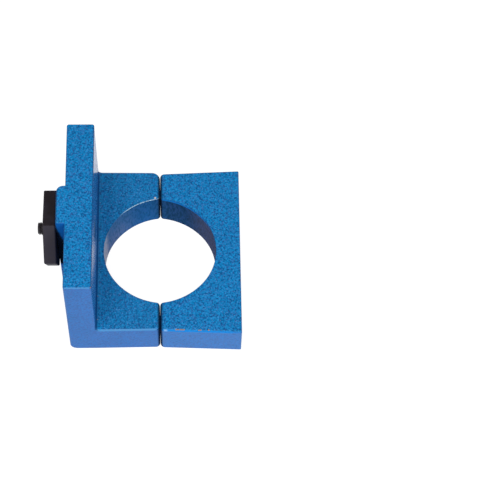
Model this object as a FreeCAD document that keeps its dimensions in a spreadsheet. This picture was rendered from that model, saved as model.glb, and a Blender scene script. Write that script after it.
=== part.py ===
import FreeCAD, Part
import os
import Sketcher
from FreeCAD import Placement, Rotation, Vector

# Drill holder: a split collar on an upright flange, with a keyed back and a
# hexagonal plate that draws the flange against a slotted rail.
# Lengths are millimetres. The origin is the middle of the bore, half way up the
# collar. Z is the axis of the bore, X runs from the flange to the cap, and Y
# along the flange.

SIZES = {
    "neck_d": (43.0, "diameter of the drill neck that the collar grips"),
    "neck_gap": (0.05, "gap between the neck and the seats that grip it"),
    "grip_angle": (40.0, "degrees to each side of the flange's middle over which a seat fits the neck"),
    "relief": (2.75, "how much larger the radius is beyond that, where the seat opens towards the split"),
    "split_gap": (0.12, "gap between the two halves"),
    "collar_height": (16.3, "height of the collar along the bore"),
    "side_wall": (12.75, "collar beside the neck, out to the side of the bracket"),
    "side_shift": (0.4, "how far the bracket's outline lies over to the far side of the bore"),
    "back_wall": (2.6, "collar behind the neck, back to the flange"),
    "front_wall": (9.35, "collar in front of the neck, out to the end of the cap"),
    "collar_taper": (0.25, "draft of each side of the bracket's half, from flange to split"),
    "cap_step": (0.25, "how much narrower the cap is than the bracket at the split, on each side"),
    "cap_flare": (1.25, "draft of each side of the cap, from split to outer end"),
    "flange_thick": (10.3, "thickness of the flange"),
    "flange_height": (52.8, "height of the flange"),
    "key_width": (16.0, "width of the key, which fits the rail's slot"),
    "key_depth": (3.3, "how far the key stands out of the flange"),
    "root_round": (1.8, "inner corner between collar and flange"),
    "foot_round": (3.0, "bottom back corner of flange and key"),
    "split_round": (1.7, "upright outer corners at the split"),
    "cheek_round": (3.2, "upright outer corner of the bracket at the split, on the far side"),
    "edge_round": (0.8, "outer edges of both castings"),
    "lip_round": (1.5, "ends of the bracket's seat at the split"),
    "cap_lip_round": (1.4, "ends of the cap's seat at the split"),
    "crown_round": (0.5, "edges of the flange's top"),
    "end_round": (0.4, "edges of the cap's outer end"),
    "key_round": (2.5, "upright corner of the key on the far side"),
    "key_edge": (0.8, "upright corner of the key on the near side"),
    "thread_d": (5.0, "thread of the three screws"),
    "thread_play": (0.05, "radial play between a screw and its tapped hole"),
    "clear_hole_d": (5.5, "clearance hole for the thread"),
    "head_d": (8.5, "diameter of a socket head"),
    "head_height": (5.0, "height of a socket head"),
    "head_recess": (0.3, "how deep a head lies under the face around it"),
    "counterbore_d": (9.5, "counterbore for a head"),
    "mouth_bevel": (0.3, "bevel at the mouth of a drilled hole"),
    "socket_flats": (4.0, "hexagon socket across its flats"),
    "socket_depth": (2.5, "depth of the hexagon socket"),
    "head_bevel": (0.5, "bevel round the top of a head"),
    "tip_bevel": (0.6, "bevel at the end of a thread"),
    "clamp_screw_length": (40.0, "clamp screw under its head"),
    "tapped_spare": (2.3, "tapped hole past the end of a clamp screw"),
    "drill_point": (1.5, "cone at the bottom of a tapped hole"),
    "slot_screw_length": (16.0, "slot screw under its head"),
    "slot_screw_height": (34.7, "height of the slot screw above the base"),
    "nut_flats": (27.2, "nut plate across its flats"),
    "nut_thick": (4.8, "thickness of the nut plate"),
    "nut_lean": (24.2, "degrees that a corner of the nut plate leans from upright"),
    "nut_play": (0.1, "gap between key and nut plate"),
    "nut_bevel": (0.3, "bevel round the nut plate"),
}

# Places worked out from the sizes, as expressions that sketches and placements share.
GRIP_R = "(sizes.neck_d / 2 + sizes.neck_gap)"
RELIEF_R = f"({GRIP_R} + sizes.relief)"
X_SPLIT = "sizes.split_gap / 2"
X_INNER = "-(sizes.neck_d / 2 + sizes.back_wall)"
X_BACK = "-(sizes.neck_d / 2 + sizes.back_wall + sizes.flange_thick)"
X_KEY = "-(sizes.neck_d / 2 + sizes.back_wall + sizes.flange_thick + sizes.key_depth)"
X_END = "(sizes.neck_d / 2 + sizes.front_wall)"
Y_MIDDLE = "sizes.side_shift"
Y_SIDE = "(sizes.neck_d / 2 + sizes.side_wall)"
Y_SPLIT = "(sizes.neck_d / 2 + sizes.side_wall - sizes.collar_taper)"
Y_CAP = "(sizes.neck_d / 2 + sizes.side_wall - sizes.collar_taper - sizes.cap_step)"
Y_END = "(sizes.neck_d / 2 + sizes.side_wall - sizes.collar_taper - sizes.cap_step + sizes.cap_flare)"
SEAT_X = "(sizes.relief * cos(sizes.grip_angle * 1deg))"
SEAT_Y = "(sizes.relief * sin(sizes.grip_angle * 1deg))"
Y_SEAT = f"(sqrt({RELIEF_R} ^ 2 - ({X_SPLIT} + {SEAT_X}) ^ 2) - {SEAT_Y})"
GRIP_X = f"({GRIP_R} * cos(sizes.grip_angle * 1deg))"
GRIP_Y = f"({GRIP_R} * sin(sizes.grip_angle * 1deg))"
Y_SCREW = f"(({Y_SEAT} + {Y_CAP}) / 2)"
Z_BASE = "-(sizes.collar_height / 2)"
Z_TOP = "(sizes.collar_height / 2)"
Z_CROWN = "(sizes.flange_height - sizes.collar_height / 2)"
Z_SLOT = "(sizes.slot_screw_height - sizes.collar_height / 2)"
HEAD_ROOM = "(sizes.head_height + sizes.head_recess)"
CLAMP_SEAT = f"({X_END} - {HEAD_ROOM})"
SLOT_SEAT = f"({X_INNER} - {HEAD_ROOM})"
TAPPED_END = f"({CLAMP_SEAT} - sizes.clamp_screw_length - sizes.tapped_spare)"
THREAD_R = "sizes.thread_d / 2"
SHANK_R = "(sizes.thread_d / 2 - sizes.thread_play)"
CLEAR_R = "sizes.clear_hole_d / 2"
COUNTERBORE_R = "sizes.counterbore_d / 2"

TOUCH = 0.01

doc = FreeCAD.newDocument("drill_holder")
sheet = doc.addObject("Spreadsheet::Sheet", "sizes")
for row, (alias, (size, note)) in enumerate(SIZES.items(), 1):
    sheet.set(f"A{row}", alias)
    sheet.set(f"B{row}", str(size))
    sheet.setAlias(f"B{row}", alias)
    sheet.set(f"C{row}", note)
doc.recompute()

gauge = doc.addObject("App::VarSet", "gauge")
gauge.addProperty("App::PropertyFloat", "reading")


def measure(expression):
    """Read what an expression on the sheet comes to."""
    gauge.setExpression("reading", expression)
    gauge.recompute()
    return gauge.reading


# Sketches

def new_body(label):
    body = doc.addObject("PartDesign::Body", label)
    body.Label = label
    return body


def origin_plane(body, role):
    return next(item for item in body.Origin.OriginFeatures if item.Role == role)


def new_sketch(body, name, role, lift=None, turn=None):
    """Start a sketch on one of the body's own planes, moved and turned in it."""
    sketch = body.newObject("Sketcher::SketchObject", name)
    sketch.AttachmentSupport = [(origin_plane(body, role), "")]
    sketch.MapMode = "FlatFace"
    if lift:
        sketch.setExpression("AttachmentOffset.Base.z", lift)
    if turn:
        sketch.AttachmentOffset = Placement(Vector(), Rotation(Vector(0, 0, 1), 1))
        sketch.setExpression("AttachmentOffset.Rotation.Angle", turn)
    return sketch


def pin(sketch, item, point, x, y):
    """Hold a point of the sketch at two expressions, measured from its origin."""
    for kind, axis, place in (("DistanceX", -2, x), ("DistanceY", -1, y)):
        if place == "0":
            sketch.addConstraint(Sketcher.Constraint("PointOnObject", item, point, axis))
        else:
            rule = Sketcher.Constraint(kind, -1, 1, item, point, measure(place))
            index = sketch.addConstraint(rule)
            sketch.setExpression(f"Constraints[{index}]", place)


def outline(sketch, corners, arcs=None):
    """Draw a closed outline through the corners, straight but for the sides in arcs.

    arcs gives the centre and radius of a side by the number of its first corner.
    """
    arcs = arcs or {}
    points = [Vector(measure(x), measure(y), 0) for x, y in corners]
    count = len(points)
    ends = []
    for i, point in enumerate(points):
        side, first, last = drawn_side(point, points[(i + 1) % count], arcs.get(i))
        sketch.addGeometry(side, False)
        ends.append((first, last))
    for i in range(count):
        follower = (i + 1) % count
        joint = Sketcher.Constraint("Coincident", i, ends[i][1], follower, ends[follower][0])
        sketch.addConstraint(joint)
    for i, (x, y) in enumerate(corners):
        pin(sketch, i, ends[i][0], x, y)
    for i, (_, _, radius) in arcs.items():
        index = sketch.addConstraint(Sketcher.Constraint("Radius", i, measure(radius)))
        sketch.setExpression(f"Constraints[{index}]", radius)


def drawn_side(start, end, arc):
    """Make one side of an outline, and say which of its ends come first and last."""
    if not arc:
        return Part.LineSegment(start, end), 1, 2
    centre = Vector(measure(arc[0]), measure(arc[1]), 0)
    ring = Part.Circle(centre, Vector(0, 0, 1), measure(arc[2]))
    if (start - centre).cross(end - centre).z > 0:
        return Part.ArcOfCircle(ring, ring.parameter(start), ring.parameter(end)), 1, 2
    return Part.ArcOfCircle(ring, ring.parameter(end), ring.parameter(start)), 2, 1


def circle(sketch, x, y, radius, construction=False):
    """Draw a circle and return its number in the sketch."""
    middle = Vector(measure(x), measure(y), 0)
    ring = Part.Circle(middle, Vector(0, 0, 1), measure(radius))
    item = sketch.addGeometry(ring, construction)
    pin(sketch, item, 3, x, y)
    index = sketch.addConstraint(Sketcher.Constraint("Radius", item, measure(radius)))
    sketch.setExpression(f"Constraints[{index}]", radius)
    return item


def hexagon(sketch, flats):
    """Draw a regular hexagon about the origin, with one corner on the X axis."""
    radius = f"{flats} / sqrt(3)"
    ring = circle(sketch, "0", "0", radius, construction=True)
    reach = Vector(measure(radius), 0, 0)
    points = [Rotation(Vector(0, 0, 1), 60 * i).multVec(reach) for i in range(6)]
    sides = []
    for i, point in enumerate(points):
        sides.append(sketch.addGeometry(Part.LineSegment(point, points[(i + 1) % 6]), False))
    for i, side in enumerate(sides):
        sketch.addConstraint(Sketcher.Constraint("Coincident", side, 2, sides[(i + 1) % 6], 1))
        sketch.addConstraint(Sketcher.Constraint("PointOnObject", side, 1, ring))
    for side in sides[1:]:
        sketch.addConstraint(Sketcher.Constraint("Equal", sides[0], side))
    sketch.addConstraint(Sketcher.Constraint("PointOnObject", sides[0], 1, -1))


# Features

def pad(body, name, sketch, length):
    feature = body.newObject("PartDesign::Pad", name)
    feature.Profile = sketch
    feature.setExpression("Length", length)
    doc.recompute()
    return feature


def pocket(body, name, sketch, depth=None):
    """Cut the sketch down into the body, right through if no depth is given."""
    before = body.Shape.Volume
    feature = body.newObject("PartDesign::Pocket", name)
    feature.Profile = sketch
    if depth:
        feature.setExpression("Length", depth)
    else:
        feature.Type = "ThroughAll"
        feature.Midplane = True
    doc.recompute()
    if body.Shape.Volume > before - TOUCH:
        raise RuntimeError(f"{name} cuts nothing")
    return feature


def turned(body, name, corners):
    """Revolve a half profile, given as distance from the axis and height, about Z."""
    sketch = new_sketch(body, f"{name}_profile", "XZ_Plane")
    outline(sketch, corners)
    feature = body.newObject("PartDesign::Revolution", name)
    feature.Profile = sketch
    feature.ReferenceAxis = (sketch, ["V_Axis"])
    feature.Angle = 360
    doc.recompute()
    return feature


def bored(body, name, across, height, steps):
    """Bore a stepped hole along X; each step is a place on X and a radius there."""
    before = body.Shape.Volume
    sketch = new_sketch(body, f"{name}_profile", "XZ_Plane", lift=f"-({across})")
    corners = [(x, f"{height} + {radius}") for x, radius in steps]
    if steps[-1][1] != "0":
        corners.append((steps[-1][0], height))
    corners.append((steps[0][0], height))
    outline(sketch, corners)
    feature = body.newObject("PartDesign::Groove", name)
    feature.Profile = sketch
    feature.ReferenceAxis = (sketch, [f"Edge{len(corners) - 1}"])
    feature.Angle = 360
    doc.recompute()
    if body.Shape.Volume > before - TOUCH:
        raise RuntimeError(f"{name} cuts nothing")
    return feature


def mirrored(body, name, feature):
    """Repeat a feature on the other side of the XZ plane."""
    copy = body.newObject("PartDesign::Mirrored", name)
    copy.Originals = [feature]
    copy.MirrorPlane = (origin_plane(body, "XZ_Plane"), [""])
    body.Tip = copy
    doc.recompute()
    return copy


def rounded(body, name, edges, radius, kind="Fillet", size="Radius"):
    if not edges:
        raise RuntimeError(f"{name} finds no edge")
    base = body.Tip
    feature = body.newObject(f"PartDesign::{kind}", name)
    feature.Base = (base, edges)
    feature.setExpression(size, radius)
    doc.recompute()
    return feature


def bevelled(body, name, edges, size):
    return rounded(body, name, edges, size, kind="Chamfer", size="Size")


def edges_in(body, low, high):
    """Name the edges that lie wholly inside a box."""
    names = []
    for i, edge in enumerate(body.Shape.Edges, 1):
        box = edge.BoundBox
        inside_x = box.XMin > low[0] - TOUCH and box.XMax < high[0] + TOUCH
        inside_y = box.YMin > low[1] - TOUCH and box.YMax < high[1] + TOUCH
        inside_z = box.ZMin > low[2] - TOUCH and box.ZMax < high[2] + TOUCH
        if inside_x and inside_y and inside_z:
            names.append(f"Edge{i}")
    return names


def uprights(body, x, y):
    """Name the edges that stand on one point of the plan."""
    place = (measure(x), measure(y))
    return edges_in(body, (*place, measure(Z_BASE)), (*place, measure(Z_CROWN)))


def across_y(x_low, half_low, x_high, half_high, middle="0"):
    """Give the corners of a plan that lies evenly about a line along X."""
    near = [(x_low, f"{middle} - {half_low}"), (x_high, f"{middle} - {half_high}")]
    far = [(x_high, f"{middle} + {half_high}"), (x_low, f"{middle} + {half_low}")]
    return near + far


def prism(body, name, corners, height):
    """Raise an outline of the plan from the base."""
    sketch = new_sketch(body, f"{name}_plan", "XY_Plane", lift=Z_BASE)
    outline(sketch, corners)
    return pad(body, name, sketch, height)


def seat(body, way, lip):
    """Cut the seat for the neck out of a casting.

    The middle arc fits the neck, an arc to each side of it opens out, and a round
    of the radius lip ends each of those. way is "-" for the casting on the -X side
    of the split, and "" for the one on the +X side.
    """
    lip_x = f"({X_SPLIT} + {lip})"
    lip_y = f"(sqrt(({RELIEF_R} + {lip}) ^ 2 - ({lip_x} + {SEAT_X}) ^ 2) - {SEAT_Y})"
    share = f"({RELIEF_R} / ({RELIEF_R} + {lip}))"
    meet_x = f"(({lip_x} + {SEAT_X}) * {share} - {SEAT_X})"
    meet_y = f"(({lip_y} + {SEAT_Y}) * {share} - {SEAT_Y})"
    half = [(f"{way}{X_SPLIT}", lip_y), (f"{way}{meet_x}", meet_y), (f"{way}{GRIP_X}", GRIP_Y)]
    corners = [("0", lip_y), *half, *mirror_y(half), ("0", f"-{lip_y}")]
    over = "" if way else "-"
    arcs = {
        1: (f"{way}{lip_x}", lip_y, lip),
        2: (f"{over}{SEAT_X}", f"-{SEAT_Y}", RELIEF_R),
        3: ("0", "0", GRIP_R),
        4: (f"{over}{SEAT_X}", SEAT_Y, RELIEF_R),
        5: (f"{way}{lip_x}", f"-{lip_y}", lip),
    }
    sketch = new_sketch(body, "neck_seat_plan", "XY_Plane")
    outline(sketch, corners, arcs)
    pocket(body, "neck_seat", sketch)


def mirror_y(corners):
    """Give the same corners on the other side of the X axis, in the reverse order."""
    return [(x, f"-{y}") for x, y in reversed(corners)]


# Bracket: flange, key and half collar in one casting

def make_bracket():
    body = new_body("bracket")
    split = f"-{X_SPLIT}"
    flange = across_y(X_BACK, Y_SIDE, X_INNER, Y_SIDE, Y_MIDDLE)
    prism(body, "flange", flange, "sizes.flange_height")
    half_collar = across_y(X_INNER, Y_SIDE, split, Y_SPLIT, Y_MIDDLE)
    prism(body, "half_collar", half_collar, "sizes.collar_height")
    half_key = "sizes.key_width / 2"
    key = across_y(X_KEY, half_key, X_BACK, half_key, Y_MIDDLE)
    prism(body, "key", key, "sizes.flange_height")
    round_bracket(body, split, half_key)
    seat(body, "-", "sizes.lip_round")
    drill_bracket(body, split)
    return body


def round_bracket(body, split, half_key):
    x_back, x_key, x_inner = measure(X_BACK), measure(X_KEY), measure(X_INNER)
    far, near = f"{Y_MIDDLE} + ", f"{Y_MIDDLE} - "
    y_low, y_high = measure(near + Y_SIDE), measure(far + Y_SIDE)
    base, top, crown = measure(Z_BASE), measure(Z_TOP), measure(Z_CROWN)
    root = edges_in(body, (x_inner, y_low, top), (x_inner, y_high, top))
    rounded(body, "root_fillet", root, "sizes.root_round")
    foot = edges_in(body, (x_back, y_low, base), (x_back, y_high, base))
    foot += edges_in(body, (x_key, y_low, base), (x_key, y_high, base))
    rounded(body, "foot_fillet", foot, "sizes.foot_round")
    rounded(body, "cheek_fillet", uprights(body, split, far + Y_SPLIT), "sizes.cheek_round")
    rounded(body, "split_fillet", uprights(body, split, near + Y_SPLIT), "sizes.split_round")
    # The rounding of the back corners runs on round the whole foot.
    corners = uprights(body, X_BACK, far + Y_SIDE) + uprights(body, X_BACK, near + Y_SIDE)
    rounded(body, "back_fillet", corners, "sizes.edge_round")
    rounded(body, "key_far_fillet", uprights(body, X_KEY, far + half_key), "sizes.key_round")
    rounded(body, "key_near_fillet", uprights(body, X_KEY, near + half_key), "sizes.key_edge")
    # The top edge at the split leads on along the collar and up the flange.
    land = edges_in(body, (measure(split), y_low, top), (measure(split), y_high, top))
    rounded(body, "collar_top_fillet", land, "sizes.edge_round")
    rim = edges_in(body, (x_key, y_low, crown), (x_inner, y_high, crown))
    rounded(body, "crown_fillet", rim, "sizes.crown_round")


def drill_bracket(body, split):
    bevel = "sizes.mouth_bevel"
    bored(body, "slot_screw_hole", "0", Z_SLOT, [
        (X_INNER, f"{COUNTERBORE_R} + {bevel}"),
        (f"{X_INNER} - {bevel}", COUNTERBORE_R),
        (SLOT_SEAT, COUNTERBORE_R),
        (SLOT_SEAT, CLEAR_R),
        (X_KEY, CLEAR_R),
    ])
    tapped = bored(body, "tapped_hole", Y_SCREW, "0", [
        (split, f"{THREAD_R} + {bevel}"),
        (f"{split} - {bevel}", THREAD_R),
        (TAPPED_END, THREAD_R),
        (f"{TAPPED_END} - sizes.drill_point", "0"),
    ])
    mirrored(body, "tapped_holes", tapped)


# Cap: the other half of the collar

def make_cap():
    body = new_body("collar_cap")
    prism(body, "half_collar", across_y(X_SPLIT, Y_CAP, X_END, Y_END), "sizes.collar_height")
    corners = uprights(body, X_SPLIT, Y_CAP) + uprights(body, X_SPLIT, f"-{Y_CAP}")
    rounded(body, "split_fillet", corners, "sizes.split_round")
    # The edges at the split lead on along the sides.
    x_split, x_end = measure(X_SPLIT), measure(X_END)
    y_end, base, top = measure(Y_END), measure(Z_BASE), measure(Z_TOP)
    land = edges_in(body, (x_split, -y_end, top), (x_split, y_end, top))
    land += edges_in(body, (x_split, -y_end, base), (x_split, y_end, base))
    rounded(body, "edge_fillet", land, "sizes.edge_round")
    end = edges_in(body, (x_end, -y_end, base), (x_end, y_end, top))
    rounded(body, "end_fillet", end, "sizes.end_round")
    seat(body, "", "sizes.cap_lip_round")
    bevel = "sizes.mouth_bevel"
    hole = bored(body, "clamp_screw_hole", Y_SCREW, "0", [
        (X_END, f"{COUNTERBORE_R} + {bevel}"),
        (f"{X_END} - {bevel}", COUNTERBORE_R),
        (CLAMP_SEAT, COUNTERBORE_R),
        (CLAMP_SEAT, CLEAR_R),
        (X_SPLIT, CLEAR_R),
    ])
    mirrored(body, "clamp_screw_holes", hole)
    return body


# Screws: socket heads, turned about their own Z with the seat of the head at zero

def make_screw(label, length, seat_x, across, height):
    body = new_body(label)
    head_r = "sizes.head_d / 2"
    turned(body, "blank", [
        ("0", f"-{length}"),
        (f"{SHANK_R} - sizes.tip_bevel", f"-{length}"),
        (SHANK_R, f"sizes.tip_bevel - {length}"),
        (SHANK_R, "0"),
        (head_r, "0"),
        (head_r, "sizes.head_height - sizes.head_bevel"),
        (f"{head_r} - sizes.head_bevel", "sizes.head_height"),
        ("0", "sizes.head_height"),
    ])
    sketch = new_sketch(body, "socket_plan", "XY_Plane", lift="sizes.head_height")
    hexagon(sketch, "sizes.socket_flats")
    pocket(body, "socket", sketch, "sizes.socket_depth")
    lay_along_x(body, seat_x, across, height)
    return body


def lay_along_x(body, x, y, z, way=1):
    """Turn a body's own Z to point along X, or back along it, and put it in place."""
    body.Placement = Placement(Vector(), Rotation(Vector(0, way, 0), 90))
    for axis, place in (("x", x), ("y", y), ("z", z)):
        body.setExpression(f"Placement.Base.{axis}", place)
    doc.recompute()


# Nut plate: a hexagonal plate, tapped through its middle

def make_nut_plate():
    body = new_body("nut_plate")
    sketch = new_sketch(body, "plate_plan", "XY_Plane", turn="-sizes.nut_lean")
    hexagon(sketch, "sizes.nut_flats")
    circle(sketch, "0", "0", THREAD_R)
    pad(body, "plate", sketch, "sizes.nut_thick")
    bevelled(body, "edge_bevel", flat_rims(body), "sizes.nut_bevel")
    lay_along_x(body, f"{X_KEY} - sizes.nut_play", "0", Z_SLOT, way=-1)
    return body


def flat_rims(body):
    """Name the edges of the plate's two faces."""
    return [f"Edge{i}" for i, edge in enumerate(body.Shape.Edges, 1) if edge.BoundBox.ZLength < TOUCH]


PARTS = [
    make_bracket(),
    make_cap(),
    make_screw("clamp_screw_far", "sizes.clamp_screw_length", CLAMP_SEAT, Y_SCREW, "0"),
    make_screw("clamp_screw_near", "sizes.clamp_screw_length", CLAMP_SEAT, f"-{Y_SCREW}", "0"),
    make_screw("slot_screw", "sizes.slot_screw_length", SLOT_SEAT, "0", Z_SLOT),
    make_nut_plate(),
]
doc.recompute()

for item in doc.Objects:
    if "Invalid" in item.State or "Error" in item.State:
        raise RuntimeError(f"{item.Label} failed: {item.State}")
for part in PARTS:
    if part.Shape.isNull() or not part.Shape.isValid() or len(part.Shape.Solids) != 1:
        raise RuntimeError(f"{part.Label} is not one valid solid")

os.makedirs("parts", exist_ok=True)
for part in PARTS:
    part.Shape.exportStep(f"parts/{part.Label}.step")
    box = part.Shape.optimalBoundingBox(False, False)
    print(f"{part.Label}: {part.Shape.Volume:.1f} cubic mm, X {box.XMin:.2f} to {box.XMax:.2f},"
          f" Y {box.YMin:.2f} to {box.YMax:.2f}, Z {box.ZMin:.2f} to {box.ZMax:.2f}")
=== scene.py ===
import math

import bpy
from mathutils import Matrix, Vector


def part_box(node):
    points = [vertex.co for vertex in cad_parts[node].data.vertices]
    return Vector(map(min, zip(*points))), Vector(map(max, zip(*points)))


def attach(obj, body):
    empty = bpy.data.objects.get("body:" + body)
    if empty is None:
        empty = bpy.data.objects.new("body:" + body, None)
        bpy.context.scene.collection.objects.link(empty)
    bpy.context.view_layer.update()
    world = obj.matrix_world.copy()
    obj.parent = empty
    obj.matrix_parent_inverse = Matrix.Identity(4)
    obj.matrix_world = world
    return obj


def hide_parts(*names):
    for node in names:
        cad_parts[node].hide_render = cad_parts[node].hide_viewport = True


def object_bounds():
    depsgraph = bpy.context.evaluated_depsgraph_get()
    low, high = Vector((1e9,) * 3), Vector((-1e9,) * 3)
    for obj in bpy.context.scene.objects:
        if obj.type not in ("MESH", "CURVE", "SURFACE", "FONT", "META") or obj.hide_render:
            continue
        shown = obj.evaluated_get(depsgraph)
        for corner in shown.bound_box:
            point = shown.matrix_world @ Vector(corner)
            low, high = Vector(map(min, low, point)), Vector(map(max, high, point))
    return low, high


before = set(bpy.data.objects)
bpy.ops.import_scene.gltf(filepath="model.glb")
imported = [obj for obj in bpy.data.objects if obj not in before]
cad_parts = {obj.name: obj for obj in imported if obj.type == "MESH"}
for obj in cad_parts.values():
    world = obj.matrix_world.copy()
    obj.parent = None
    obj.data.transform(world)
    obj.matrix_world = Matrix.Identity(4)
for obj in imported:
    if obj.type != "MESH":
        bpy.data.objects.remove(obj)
cad_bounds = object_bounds()

# Lengths are metres. X runs from the flange to the cap, Y to the far side, Z up the bore's axis.

MM = 0.001

CAMERA_PLACE = (0.008562, -0.321506, 0.635379)
CAMERA_TURN = (27.15351, -1.71998, -1.28188)
CAMERA_LENS = 131.9145
SENSOR = 36.0
CLIP_END = 20.0

FLOOR_SIZE = 6.0
FLOOR_DROP = 0.02 * MM
FLOOR_GLOW = 0.90
WORLD_LEVEL = 0.22

# Each lamp's name, place, size across and power.
LAMPS = (
    ("key", (-0.15, -0.42, 1.10), 0.70, 9.0),
    ("front", (0.25, -0.83, 0.43), 0.22, 1.6),
    ("right", (0.55, -0.40, 0.70), 0.12, 0.8),
)

HEAD_HEIGHT = 5.0 * MM
CREST_R = 2.49 * MM
THREAD_PITCH = 0.8 * MM
THREAD_DEPTH = 0.45 * MM
THREAD_STEPS = 10
TIP_ROUND = 0.9 * MM
KNURL_DEPTH = 0.10 * MM
KNURL_RIDGES = 60
SOCKET_FLATS = 4.0 * MM
SOCKET_DEPTH = 2.5 * MM
RING_POINTS = 120
SMOOTH_ANGLE = 32

# Length and threaded part of each kind of screw.
CLAMP_SCREW = (40.0 * MM, 22.4 * MM)
SLOT_SCREW = (16.0 * MM, 14.4 * MM)

BLUE = (0.0015, 0.210, 0.520, 1.0)
BLUE_PALE = (0.016, 0.300, 0.680, 1.0)
BLUE_DEEP = (0.001, 0.085, 0.260, 1.0)
TEAL_SHADE = (0.010, 0.105, 0.220, 1.0)
VIOLET = (0.060, 0.130, 0.430, 1.0)
# Painted light: a more violet copy of the blue for the sides, for the light they catch, and a
# brighter copy for the cap's near faces.
BLUE_SIDE = (0.033, 0.180, 0.570, 1.0)
BLUE_SIDE_CAP_LIT = (0.044, 0.212, 0.620, 1.0)
BLUE_KEY = (0.001, 0.115, 0.430, 1.0)
# The bore's blues are painted shade and light: darker than the outside, a lit copy to the left, a
# darker copy in the cap.
BLUE_BORE = (0.010, 0.135, 0.380, 1.0)
BLUE_BORE_LIT = (0.020, 0.190, 0.480, 1.0)
BLUE_BORE_CAP = (0.006, 0.062, 0.165, 1.0)
# Painted shade and painted highlights for the edges, folds and the flange's foot.
BLUE_PAINTED_SHADE = (0.001, 0.070, 0.240, 1.0)
BLUE_LIT = (0.003, 0.250, 0.760, 1.0)
BLUE_LIT_SOFT = (0.090, 0.310, 0.640, 1.0)
NIGHT = (0.0005, 0.004, 0.016, 1.0)
FLECK = (0.090, 0.270, 0.600, 1.0)
CHIP = (0.36, 0.20, 0.10, 1.0)
PAINTED_SHEEN = (0.31, 0.25, 0.35, 1.0)
PAINTED_GLINT = (0.62, 0.86, 0.98, 1.0)
CREAM = (0.80, 0.64, 0.50, 1.0)
OXIDE = (0.011, 0.008, 0.010, 1.0)
OXIDE_WORN = (0.022, 0.018, 0.024, 1.0)
OXIDE_SIDE_LIT = (0.038, 0.034, 0.044, 1.0)
OXIDE_EDGE = (0.15, 0.14, 0.15, 1.0)
FLOOR_WHITE = (0.86, 0.86, 0.86, 1.0)
FLOOR_SHADE = (0.24, 0.24, 0.24, 1.0)

# Scales of the patterns
GRAIN_SCALE = 1500.0
CELL_SCALE = 1250.0
TINT_SCALE = 1400.0
DRIFT_SCALE = 130.0
FLECK_SCALE = 2300.0
STREAK_SCALE = 1300.0
WEAR_SCALE = 700.0
CHIP_SCALE = 2600.0

# Borders in mm, each from where a mask is 0 to where it is 1
BORE_WALL = (23.9, 23.7)
BELOW_COLLAR_TOP = (12.0, 11.0)
FLANGE_INNER_FACE = (-23.8, -24.0)
FLANGE_FOOT = (14.5, 10.5)
SPLIT_LIPS = (1.4, 0.25)
SPLIT_WALL = (0.3, 0.08)
KEY_REACH = (-34.1, -34.5)
KEY_BACK_EDGE = (-37.1, -37.5)
KEY_TOP = (43.0, 44.2)
PLATE_INNER_EDGE = (-38.6, -37.9)

# The line under which the plate shades the key runs as z + 4.7 x = -134.5 mm.
PLATE_SHADE_SLOPE = 4.7
PLATE_SHADE = (-131.5, -137.5)

# Middles of the painted highlights on the bore's rim and on the cap's corner, in mm.
RIM_GLINT_MIDDLE = (-8.5, 20.5, 8.1)
CORNER_GLINT_MIDDLE = (2.0, -34.2, 7.8)
ROOT_GLINT_X = -22.45

# Nodes

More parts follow.
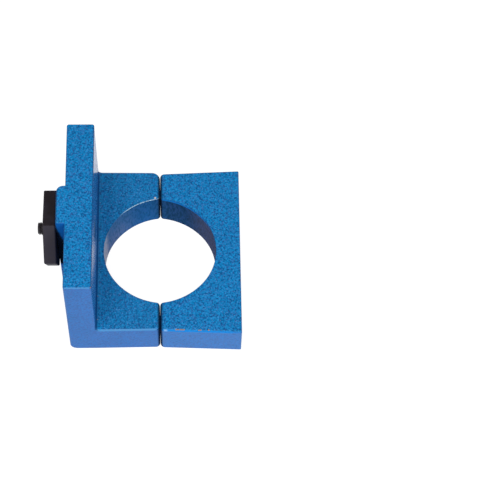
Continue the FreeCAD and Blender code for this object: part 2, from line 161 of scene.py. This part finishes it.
class Graph:
    """A material's node tree, with short ways to add and join nodes."""

    def __init__(self, name):
        self.material = bpy.data.materials.new(name)
        self.material.use_nodes = True
        self.tree = self.material.node_tree
        self.tree.nodes.clear()

    def add(self, kind, **settings):
        node = self.tree.nodes.new(f"ShaderNode{kind}")
        for name, value in settings.items():
            setattr(node, name, value)
        return node

    def join(self, source, target):
        self.tree.links.new(source, target)

    def place(self):
        return self.add("TexCoord").outputs["Object"]

    def turned(self, place):
        """Turn the space of a pattern, so that its grid doesn't show on level faces."""
        node = self.add("Mapping")
        self.join(place, node.inputs["Vector"])
        node.inputs["Rotation"].default_value = (0.55, 0.42, 0.73)
        return node.outputs["Vector"]

    def stretched(self, place, scale):
        node = self.add("Mapping")
        self.join(place, node.inputs["Vector"])
        node.inputs["Scale"].default_value = scale
        return node.outputs["Vector"]

    def noise(self, place, scale, detail=2.0, roughness=0.5):
        node = self.add("TexNoise")
        self.join(place, node.inputs["Vector"])
        node.inputs["Scale"].default_value = scale
        node.inputs["Detail"].default_value = detail
        node.inputs["Roughness"].default_value = roughness
        return node.outputs["Fac"]

    def cells(self, place, scale, smooth=0.6):
        node = self.add("TexVoronoi", feature="SMOOTH_F1")
        self.join(place, node.inputs["Vector"])
        node.inputs["Scale"].default_value = scale
        node.inputs["Smoothness"].default_value = smooth
        return node.outputs["Distance"]

    def ramp(self, source, low, high, bottom=0.0, top=1.0):
        """Map low..high of a value smoothly onto bottom..top."""
        node = self.add("MapRange", interpolation_type="SMOOTHSTEP")
        self.join(source, node.inputs["Value"])
        node.inputs["From Min"].default_value = low
        node.inputs["From Max"].default_value = high
        node.inputs["To Min"].default_value = bottom
        node.inputs["To Max"].default_value = top
        return node.outputs["Result"]

    def border(self, length, span, out=(0.0, 1.0)):
        """Map a length, over a span in mm, smoothly onto 0 to 1 or another range."""
        return self.ramp(length, span[0] * MM, span[1] * MM, *out)

    def parts(self, vector):
        """Give the three parts of a vector."""
        node = self.add("SeparateXYZ")
        self.join(vector, node.inputs["Vector"])
        return node.outputs["X"], node.outputs["Y"], node.outputs["Z"]

    def math(self, operation, *values):
        node = self.add("Math", operation=operation)
        for socket, value in zip(node.inputs, values):
            if isinstance(value, (int, float)):
                socket.default_value = value
            else:
                self.join(value, socket)
        return node.outputs["Value"]

    def times(self, first, *others):
        for other in others:
            first = self.math("MULTIPLY", first, other)
        return first

    def most(self, first, *others):
        for other in others:
            first = self.math("MAXIMUM", first, other)
        return first

    def mix_vector(self, factor, a, b):
        node = self.add("Mix", data_type="VECTOR")
        self.join(factor, node.inputs["Factor"])
        self.join(a, node.inputs[4])
        node.inputs[5].default_value = b
        return node.outputs[1]

    def mix(self, factor, a, b):
        """Mix two colours, each a value or a socket."""
        node = self.add("Mix", data_type="RGBA")
        self.join(factor, node.inputs["Factor"])
        for socket, value in zip(node.inputs[6:8], (a, b)):
            if isinstance(value, tuple):
                socket.default_value = value
            else:
                self.join(value, socket)
        return node.outputs[2]

    def bump(self, height, distance, strength=1.0, normal=None):
        node = self.add("Bump")
        node.inputs["Distance"].default_value = distance
        node.inputs["Strength"].default_value = strength
        self.join(height, node.inputs["Height"])
        if normal:
            self.join(normal, node.inputs["Normal"])
        return node.outputs["Normal"]

    def facing(self, axis, low, high):
        """Tell how far the surface faces along an axis of the object."""
        split = self.add("SeparateXYZ")
        self.join(self.add("TexCoord").outputs["Normal"], split.inputs["Vector"])
        return self.ramp(split.outputs[axis], low, high)

    def soft_edges(self, radius):
        """Give the normal of the surface with its sharp edges rounded off."""
        node = self.add("Bevel", samples=6)
        node.inputs["Radius"].default_value = radius
        return node.outputs["Normal"]

    def edges(self, radius, low, high):
        """Find the edges, by how far the rounded normal leans from the flat one."""
        dot = self.add("VectorMath", operation="DOT_PRODUCT")
        self.join(self.soft_edges(radius), dot.inputs[0])
        self.join(self.add("NewGeometry").outputs["True Normal"], dot.inputs[1])
        return self.ramp(dot.outputs["Value"], low, high, 1.0, 0.0)

    def finish(self, colour, roughness, normal, specular):
        shader = self.add("BsdfPrincipled")
        shader.inputs["Specular IOR Level"].default_value = specular
        self.join(colour, shader.inputs["Base Color"])
        self.join(roughness, shader.inputs["Roughness"])
        self.join(normal, shader.inputs["Normal"])
        out = self.add("OutputMaterial")
        self.join(shader.outputs["BSDF"], out.inputs["Surface"])
        return self.material


# Materials

# Places in mm where the enamel is chipped to the metal, each with its reach in mm.
CHIPS = (
    ((6.1, -33.55, 8.1), 0.36),
    ((6.8, -33.60, 8.1), 0.40),
    ((7.6, -33.60, 8.1), 0.36),
    ((8.3, -33.60, 8.1), 0.42),
    ((9.0, -33.65, 8.1), 0.38),
    ((14.6, -33.85, 8.0), 0.34),
    ((15.3, -33.85, 8.0), 0.38),
    ((18.3, -33.80, 8.0), 0.40),
    ((-23.7, -19.6, 8.5), 0.40),
    ((-23.7, -22.4, 8.5), 0.30),
    ((-23.6, -29.4, 8.5), 0.30),
    ((-24.1, -33.6, 44.5), 0.50),
    ((9.5, -19.4, 8.1), 0.45),
    ((-1.9, 22.9, 8.1), 0.44),
)


class Enamel(Graph):
    """Blue enamel on a casting. Each step lays its colour over what the steps before it made, and
    many steps paint light and shade into it.
    """

    def __init__(self, name):
        super().__init__(name)
        self.spot = self.place()
        self.x, self.y, self.z = self.parts(self.spot)
        self.up = self.facing("Z", 0.35, 0.9)
        self.side = self.math("SUBTRACT", 1.0, self.up)
        self.from_split = self.math("ABSOLUTE", self.x)

    def lay(self, mask, colour, share=1.0):
        self.shade = self.mix(self.times(mask, share), self.shade, colour)

    def near_place(self, middle, low, high):
        """Fall from 1 to 0 as the distance in mm from a place grows from low to high."""
        away = self.add("VectorMath", operation="DISTANCE")
        self.join(self.spot, away.inputs[0])
        away.inputs[1].default_value = [value * MM for value in middle]
        return self.border(away.outputs["Value"], (low, high), (1.0, 0.0))

    def lay_skin(self):
        """Lay the hammered skin: a fine mottle, tinted here and there, with pale flecks, painted
        light on the sides and painted shade on the top of the collar by the flange.
        """
        turned = self.turned(self.spot)
        fine = self.noise(turned, GRAIN_SCALE, detail=2.0, roughness=0.65)
        cells = self.cells(turned, CELL_SCALE, smooth=0.35)
        tint = self.noise(self.spot, TINT_SCALE, detail=1.0)
        drift = self.noise(self.spot, DRIFT_SCALE)
        flecks = self.noise(turned, FLECK_SCALE, detail=1.0)
        self.grain = self.math("MULTIPLY_ADD", fine, 0.85, 0.215)
        self.grain = self.math("MULTIPLY_ADD", cells, -0.28, self.grain)
        strength = self.math("MULTIPLY_ADD", self.up, 0.62, 0.42)
        # Painted light: the sides get their own, more violet copy of the blue, and the cap's near
        # faces a brighter copy.
        cap_near_lit = self.times(self.facing("Y", -0.3, -0.8), self.border(self.x, (0.0, 0.5)))
        self.shade = self.mix(cap_near_lit, BLUE_SIDE, BLUE_SIDE_CAP_LIT)
        self.lay(self.up, BLUE)
        self.lay(self.ramp(self.grain, 0.51, 0.35), BLUE_DEEP, strength)
        self.lay(self.ramp(self.grain, 0.50, 0.68), BLUE_PALE, strength)
        self.lay(self.ramp(drift, 0.35, 0.75, 0.0, 0.12), BLUE_DEEP)
        self.lay(self.ramp(tint, 0.44, 0.74, 0.0, 0.34), VIOLET)
        # Painted shade on the top of the bracket's collar, where the flange shades it, less of it
        # right by the flange's foot.
        collar = self.times(
            self.border(self.x, (-0.5, -4.0)),
            self.border(self.x, (-22.0, -19.0), (0.3, 1.0)),
            self.border(self.z, BELOW_COLLAR_TOP, (0.0, 0.22)),
        )
        self.lay(collar, TEAL_SHADE, self.up)
        self.lay(self.ramp(flecks, 0.60, 0.76), FLECK, self.up)

    def lay_bore(self):
        """Lay the bore's painted shade: darker than the outside, lighter to the left, darker still in
        the cap, streaked, with a painted pale sheen at its left and right.
        """
        squares = self.math("ADD", self.times(self.x, self.x), self.times(self.y, self.y))
        self.bore = self.times(self.border(self.math("SQRT", squares), BORE_WALL), self.side)
        wall = self.mix(self.border(self.x, (-17.0, -7.0)), BLUE_BORE_LIT, BLUE_BORE)
        wall = self.mix(self.border(self.x, (-6.0, 5.0)), wall, BLUE_BORE_CAP)
        long_grain = self.stretched(self.spot, (1.0, 1.0, 0.35))
        streaks = self.noise(long_grain, STREAK_SCALE, detail=3.0, roughness=0.6)
        wall = self.mix(self.ramp(streaks, 0.42, 0.70, 0.0, 0.28), wall, VIOLET)
        wall = self.mix(self.ramp(streaks, 0.55, 0.30, 0.0, 0.38), wall, NIGHT)
        # Painted reflection: a pale sheen towards the bore's left and right ends, the left one
        # stronger low down.
        sheen = self.math(
            "ADD",
            self.border(self.x, (-7.0, -19.0), (0.0, 0.19)),
            self.border(self.x, (-20.0, -21.4), (0.0, 0.22)),
        )
        sheen = self.times(
            sheen,
            self.border(self.z, (7.0, -7.0), (0.6, 1.5)),
            self.ramp(streaks, 0.30, 0.70, 0.6, 1.4),
        )
        wall = self.mix(sheen, wall, PAINTED_SHEEN)
        wall = self.mix(self.border(self.x, (9.0, 20.0), (0.0, 0.24)), wall, PAINTED_SHEEN)
        self.lay(self.bore, wall)

    def lay_folds(self):
        """Lay painted highlights along the near edges and painted shade along the edges on the left
        and right.
        """
        fold = self.times(self.facing("Z", 0.08, 0.25), self.facing("Z", 0.985, 0.93))
        near = self.times(fold, self.facing("Y", -0.15, -0.45))
        cap_near_lit = self.times(
            self.facing("Y", -0.40, -0.65),
            self.border(self.z, (6.75, 7.15)),
            self.border(self.x, (30.0, 26.0), (0.2, 1.0)),
        )
        near = self.mix(self.border(self.x, (0.0, 0.4)), near, cap_near_lit)
        root = self.times(self.border(self.z, BELOW_COLLAR_TOP), self.facing("Z", 0.55, 0.80))
        beside_root = self.math("SUBTRACT", 1.0, root)
        right = self.times(fold, self.facing("X", 0.15, 0.45), beside_root)
        left = self.times(fold, self.facing("X", -0.15, -0.45))
        lit = self.mix(self.border(self.x, (-2.0, 0.5)), BLUE_LIT_SOFT, BLUE_LIT)
        self.lay(near, lit, 0.85)
        self.lay(right, BLUE_PAINTED_SHADE, 0.85)
        self.lay(left, BLUE_PAINTED_SHADE, 0.35)

    def lay_root(self):
        """Lay painted shade at the flange's foot and a broken painted highlight where it meets the
        collar.
        """
        self.inner = self.times(self.facing("X", 0.6, 0.9), self.border(self.x, FLANGE_INNER_FACE))
        self.foot = self.times(self.inner, self.border(self.z, FLANGE_FOOT))
        self.lay(self.foot, BLUE_PAINTED_SHADE, 0.85)
        from_glint = self.math("ABSOLUTE", self.math("SUBTRACT", self.x, ROOT_GLINT_X * MM))
        patchy = self.noise(self.stretched(self.spot, (1.0, 0.3, 1.0)), WEAR_SCALE)
        glint = self.times(
            self.border(from_glint, (0.15, 0.50), (0.6, 0.0)),
            self.border(self.z, BELOW_COLLAR_TOP),
            self.ramp(patchy, 0.40, 0.62),
        )
        self.lay(glint, BLUE_PALE, self.up)

    def lay_split(self):
        """Lay painted shade on the walls and the lips of the split."""
        self.wall = self.border(self.from_split, SPLIT_WALL)
        across = self.most(self.facing("X", 0.25, 0.65), self.facing("X", -0.25, -0.65))
        reach = self.most(self.math("MULTIPLY_ADD", self.up, 0.6, 0.35), self.times(across, 0.93))
        self.split = self.times(self.border(self.from_split, SPLIT_LIPS), reach)
        self.lay(self.split, NIGHT)

    def lay_key(self):
        """Darken the key's near side and back edge, where the hexagonal plate shades them."""
        self.key_side = self.times(
            self.facing("Y", -0.3, -0.6),
            self.border(self.y, (-9.5, -8.5)),
            self.border(self.x, KEY_REACH),
        )
        under_plate = self.math("MULTIPLY_ADD", self.x, PLATE_SHADE_SLOPE, self.z)
        self.shaded = self.times(
            self.border(under_plate, PLATE_SHADE),
            self.border(self.z, (11.5, 13.0)),
            self.key_side,
        )
        self.lay(self.key_side, BLUE_KEY, self.border(self.z, (10.0, 30.0)))
        self.lay(self.shaded, NIGHT, 0.97)
        back_edge = self.times(self.border(self.x, KEY_BACK_EDGE), self.border(self.z, KEY_TOP))
        self.lay(back_edge, NIGHT, self.times(self.up, 0.7))

    def lay_rims(self):
        """Lay painted shade along the sharp rims on the near side and on the cap, and painted
        highlights on the bracket's far bore rim and the cap's near corner.
        """
        edges = self.edges(0.55 * MM, 0.93, 0.997)
        dark_part = self.most(self.border(self.y, (6.0, -4.0)), self.border(self.x, (0.0, 2.0)))
        self.lay(self.times(edges, dark_part), BLUE_PAINTED_SHADE, 0.6)
        patchy = self.ramp(self.noise(self.spot, WEAR_SCALE), 0.36, 0.52, 0.35, 1.0)
        rim_glint = self.times(edges, self.near_place(RIM_GLINT_MIDDLE, 4.5, 10.0))
        self.lay(rim_glint, PAINTED_GLINT, patchy)
        self.lay(self.near_place(CORNER_GLINT_MIDDLE, 0.2, 1.2), PAINTED_GLINT, 0.5)

    def lay_chips(self):
        """Lay the chips, with ragged outlines."""
        ragged = self.noise(self.spot, CHIP_SCALE, detail=2.0)
        spots = [self.near_place(middle, 0.4 * reach, 1.3 * reach) for middle, reach in CHIPS]
        mask = self.ramp(self.math("MULTIPLY_ADD", self.most(*spots), 0.6, ragged), 0.80, 0.92)
        metal = self.mix(self.border(self.y, (0.0, 5.0)), CHIP, CREAM)
        self.lay(mask, metal, 0.9)

    def paint(self):
        """Lay every step, then set the gloss and the lumps of the skin."""
        self.lay_skin()
        self.lay_bore()
        self.lay_folds()
        self.lay_root()
        self.lay_split()
        self.lay_key()
        self.lay_rims()
        self.lay_chips()
        dull_part = self.most(self.border(self.y, (5.0, 11.0)), self.border(self.x, (0.0, 3.0)))
        dull_bore = self.times(self.bore, dull_part)
        dull = self.most(self.wall, self.foot, self.key_side, self.split, dull_bore)
        roughness = self.ramp(self.grain, 0.3, 0.7, 0.30, 0.46)
        roughness = self.math("MULTIPLY_ADD", self.inner, -0.18, roughness)
        roughness = self.math("MULTIPLY_ADD", dull, 0.55, roughness)
        lumps = self.times(self.grain, self.math("MULTIPLY_ADD", self.up, 0.8, 0.2))
        normal = self.bump(lumps, 0.05 * MM, 0.7, self.soft_edges(0.3 * MM))
        # In the split's walls and in the painted shade on the key, the normal is turned straight up,
        # which keeps them dark.
        normal = self.mix_vector(self.most(self.wall, self.shaded), normal, (0.0, 0.0, 1.0))
        return self.finish(self.shade, roughness, normal, specular=0.10)


def black_oxide(name, grain, specular, dull, shaded):
    """Blackened steel, paler where it has been handled and along the edges, with painted light on the
    faces turned to the front and painted shade along the plate's inner edge.
    """
    graph = Graph(name)
    place = graph.place()
    cloud = graph.noise(place, grain, detail=4.0)
    fine = graph.noise(place, grain * 9.0, detail=2.0)
    edges = graph.edges(0.2 * MM, 0.86, 0.99)
    # Painted shade along the plate's inner edge beside the key, as strong as shaded says.
    inner = graph.times(graph.border(graph.parts(place)[0], PLATE_INNER_EDGE), shaded)
    shade = graph.mix(graph.ramp(cloud, 0.35, 0.70), OXIDE, OXIDE_WORN)
    shade = graph.mix(graph.facing("Y", -0.3, -0.8), shade, OXIDE_SIDE_LIT)
    shade = graph.mix(graph.times(edges, 0.3), shade, OXIDE_EDGE)
    shade = graph.mix(inner, shade, NIGHT)
    roughness = graph.ramp(cloud, 0.3, 0.7, dull - 0.08, dull + 0.08)
    roughness = graph.math("MULTIPLY_ADD", inner, 0.4, roughness)
    normal = graph.bump(fine, 0.01 * MM, 0.5, graph.soft_edges(0.15 * MM))
    return graph.finish(shade, roughness, normal, specular)


def seen_ray(graph):
    """Tell rays that reach the eye, straight or by a mirror or glass, from the rest."""
    path = graph.add("LightPath").outputs
    return graph.most(path["Is Camera Ray"], path["Is Glossy Ray"], path["Is Transmission Ray"])


def floor_white():
    """Pale floor that shows white to the eye and keeps the object's shadow."""
    graph = Graph("floor_white")
    paint = graph.add("BsdfDiffuse")
    paint.inputs["Color"].default_value = FLOOR_WHITE
    glow = graph.add("Emission")
    glow.inputs["Strength"].default_value = FLOOR_GLOW
    dim = graph.add("BsdfDiffuse")
    dim.inputs["Color"].default_value = FLOOR_SHADE
    seen = graph.add("AddShader")
    graph.join(glow.outputs["Emission"], seen.inputs[0])
    graph.join(dim.outputs["BSDF"], seen.inputs[1])
    either = graph.add("MixShader")
    graph.join(seen_ray(graph), either.inputs["Fac"])
    graph.join(paint.outputs["BSDF"], either.inputs[1])
    graph.join(seen.outputs["Shader"], either.inputs[2])
    out = graph.add("OutputMaterial")
    graph.join(either.outputs["Shader"], out.inputs["Surface"])
    return graph.material


# Screws

def grid_mesh(name, rows):
    """Skin rings of points, each a closed loop, and close both ends with a middle point."""
    points = [point for row in rows for point in row]
    across = len(rows[0])
    faces = []
    for i in range(len(rows) - 1):
        for j in range(across):
            k = (j + 1) % across
            faces.append((i * across + j, i * across + k, (i + 1) * across + k, (i + 1) * across + j))
    for row, first, flip in ((rows[0], 0, True), (rows[-1], (len(rows) - 1) * across, False)):
        middle = sum((Vector(point) for point in row), Vector()) / across
        points.append(tuple(middle))
        for j in range(across):
            k = (j + 1) % across
            face = (first + j, first + k, len(points) - 1)
            faces.append(face[::-1] if flip else face)
    mesh = bpy.data.meshes.new(name)
    mesh.from_pydata(points, [], faces)
    mesh.update()
    return mesh


def ring(x, radius_at, count):
    """Points round the X axis, at a radius that may differ from angle to angle."""
    points = []
    for j in range(count):
        angle = 2 * math.pi * j / count
        radius = radius_at(angle)
        points.append((x, radius * math.cos(angle), radius * math.sin(angle)))
    return points


def thread_radius(x, angle, outer):
    """Radius of a right-hand thread along X, with a flat crest and root."""
    phase = (x / THREAD_PITCH + angle / (2 * math.pi)) % 1.0
    rise = abs(phase - 0.5) * 2
    return outer - THREAD_DEPTH * min(max((rise - 0.12) / 0.72, 0.0), 1.0)


def hex_radius(angle, flats):
    """Radius of a hexagon at an angle, with its flats across the given width."""
    turn = (angle + math.pi / 6) % (math.pi / 3) - math.pi / 6
    return flats / 2 / math.cos(turn)


def thread_rows(length, shank_r, threaded):
    """Rings from the rounded tip up the thread, which fades out over its last turn."""
    rows = []
    step = THREAD_PITCH / THREAD_STEPS
    for i in range(round(threaded / step) + 1):
        x = -length + i * step
        back = 1.0 - min(1.0, (x + length) / TIP_ROUND)
        tip = shank_r - TIP_ROUND * (1.0 - math.sqrt(1.0 - back * back))
        fade = min(1.0, (threaded - i * step) / THREAD_PITCH)

        def radius(angle, x=x, tip=tip, fade=fade):
            depth = shank_r - thread_radius(x, angle, shank_r)
            return min(shank_r - depth * fade, tip)

        rows.append(ring(x, radius, RING_POINTS))
    return rows


def head_rows(shank_r, head_r, head_height):
    """Rings from the end of the shank, up the knurled head and down into the socket."""
    plain = head_r - 0.04 * MM
    mouth = SOCKET_FLATS / 2 + 0.45 * MM
    knurl_low = 0.6 * MM
    knurl_high = head_height - 0.9 * MM
    floor = head_height - SOCKET_DEPTH

    def knurl(angle):
        return plain - KNURL_DEPTH * (0.5 - 0.5 * math.cos(angle * KNURL_RIDGES))

    def socket(angle):
        return hex_radius(angle, SOCKET_FLATS)

    profile = (
        (-0.25 * MM, shank_r),
        (-0.02 * MM, shank_r + 0.15 * MM),
        (0.0, head_r - 0.25 * MM),
        (0.0, head_r - 0.20 * MM),
        (0.2 * MM, plain),
        (knurl_low, plain),
        (knurl_low + 0.1 * MM, knurl),
        (knurl_high - 0.1 * MM, knurl),
        (knurl_high, plain),
        (head_height - 0.5 * MM, plain),
        (head_height - 0.2 * MM, plain - 0.15 * MM),
        (head_height - 0.03 * MM, plain - 0.42 * MM),
        (head_height, plain - 0.55 * MM),
        (head_height, mouth),
        (head_height - 0.2 * MM, socket),
        (floor, socket),
        (floor - 0.4 * MM, 0.9 * MM),
        (floor - 0.6 * MM, 0.2 * MM),
    )
    rows = []
    for x, size in profile:
        radius = size if callable(size) else lambda angle, size=size: size
        rows.append(ring(x, radius, RING_POINTS))
    return rows


def make_screw(node, body, seat_x, length, threaded, material):
    """Build a socket head cap screw in place of a CAD screw, its head on the +X side."""
    low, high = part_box(node)
    head_r = (high.y - low.y) / 2
    middle = (low + high) / 2
    rows = thread_rows(length, CREST_R, threaded) + head_rows(CREST_R, head_r, high.x - seat_x)
    placed = [[(x + seat_x, y + middle.y, z + middle.z) for x, y, z in row] for row in rows]
    screw = bpy.data.objects.new(f"{node}_threaded", grid_mesh(f"{node}_threaded", placed))
    bpy.context.scene.collection.objects.link(screw)
    shade_by_angle(screw, SMOOTH_ANGLE)
    screw.data.materials.append(material)
    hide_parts(node)
    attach(screw, body)


def shade_by_angle(piece, degrees):
    bpy.ops.object.select_all(action="DESELECT")
    piece.select_set(True)
    bpy.context.view_layer.objects.active = piece
    bpy.ops.object.shade_auto_smooth(use_auto_smooth=True, angle=math.radians(degrees))


# The object

blue = Enamel("hammered_blue").paint()
black = black_oxide("black_oxide", 300.0, specular=0.35, dull=0.36, shaded=0.0)
plate_black = black_oxide("black_plate", 160.0, specular=0.10, dull=0.60, shaded=0.8)

for name, material in (("bracket", blue), ("collar_cap", blue), ("nut_plate", plate_black)):
    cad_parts[name].data.materials.clear()
    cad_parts[name].data.materials.append(material)

for name in ("clamp_screw_far", "clamp_screw_near"):
    seat_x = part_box(name)[1].x - HEAD_HEIGHT
    make_screw(name, name, seat_x, *CLAMP_SCREW, black)
slot_seat_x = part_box("slot_screw")[1].x - HEAD_HEIGHT
make_screw("slot_screw", "slot_screw", slot_seat_x, *SLOT_SCREW, black)


# Floor, light and camera

def make_floor():
    level = cad_bounds[0][2] - FLOOR_DROP
    bpy.ops.mesh.primitive_plane_add(size=FLOOR_SIZE, location=(0, 0, level))
    floor = bpy.context.object
    floor.name = "floor"
    floor.data.materials.append(floor_white())


def make_world(strength):
    world = bpy.data.worlds.new("studio")
    bpy.context.scene.world = world
    world.use_nodes = True
    tree = world.node_tree
    tree.nodes.clear()
    path = tree.nodes.new("ShaderNodeLightPath")
    seen = tree.nodes.new("ShaderNodeMath")
    seen.operation = "MAXIMUM"
    either = tree.nodes.new("ShaderNodeMath")
    either.operation = "MAXIMUM"
    level = tree.nodes.new("ShaderNodeMapRange")
    glow = tree.nodes.new("ShaderNodeBackground")
    out = tree.nodes.new("ShaderNodeOutputWorld")
    level.inputs["To Min"].default_value = strength
    level.inputs["To Max"].default_value = 1.0
    glow.inputs["Color"].default_value = (1, 1, 1, 1)
    tree.links.new(path.outputs["Is Camera Ray"], seen.inputs[0])
    tree.links.new(path.outputs["Is Glossy Ray"], seen.inputs[1])
    tree.links.new(seen.outputs["Value"], either.inputs[0])
    tree.links.new(path.outputs["Is Transmission Ray"], either.inputs[1])
    tree.links.new(either.outputs["Value"], level.inputs["Value"])
    tree.links.new(level.outputs["Result"], glow.inputs["Strength"])
    tree.links.new(glow.outputs["Background"], out.inputs["Surface"])


def make_lamp(name, place, size, power):
    lamp = bpy.data.lights.new(name, "AREA")
    lamp.shape = "DISK"
    lamp.size = size
    lamp.energy = power
    lamp_object = bpy.data.objects.new(name, lamp)
    bpy.context.scene.collection.objects.link(lamp_object)
    lamp_object.location = place
    lamp_object.rotation_euler = (-Vector(place)).to_track_quat("-Z", "Y").to_euler()


def make_camera():
    camera = bpy.data.objects.new("camera", bpy.data.cameras.new("camera"))
    bpy.context.scene.collection.objects.link(camera)
    camera.location = CAMERA_PLACE
    camera.rotation_euler = [math.radians(turn) for turn in CAMERA_TURN]
    camera.data.sensor_width = SENSOR
    camera.data.lens = CAMERA_LENS
    camera.data.clip_end = CLIP_END
    bpy.context.scene.camera = camera


make_floor()
make_world(WORLD_LEVEL)
for lamp in LAMPS:
    make_lamp(*lamp)
make_camera()
bpy.context.scene.view_settings.view_transform = "Standard"
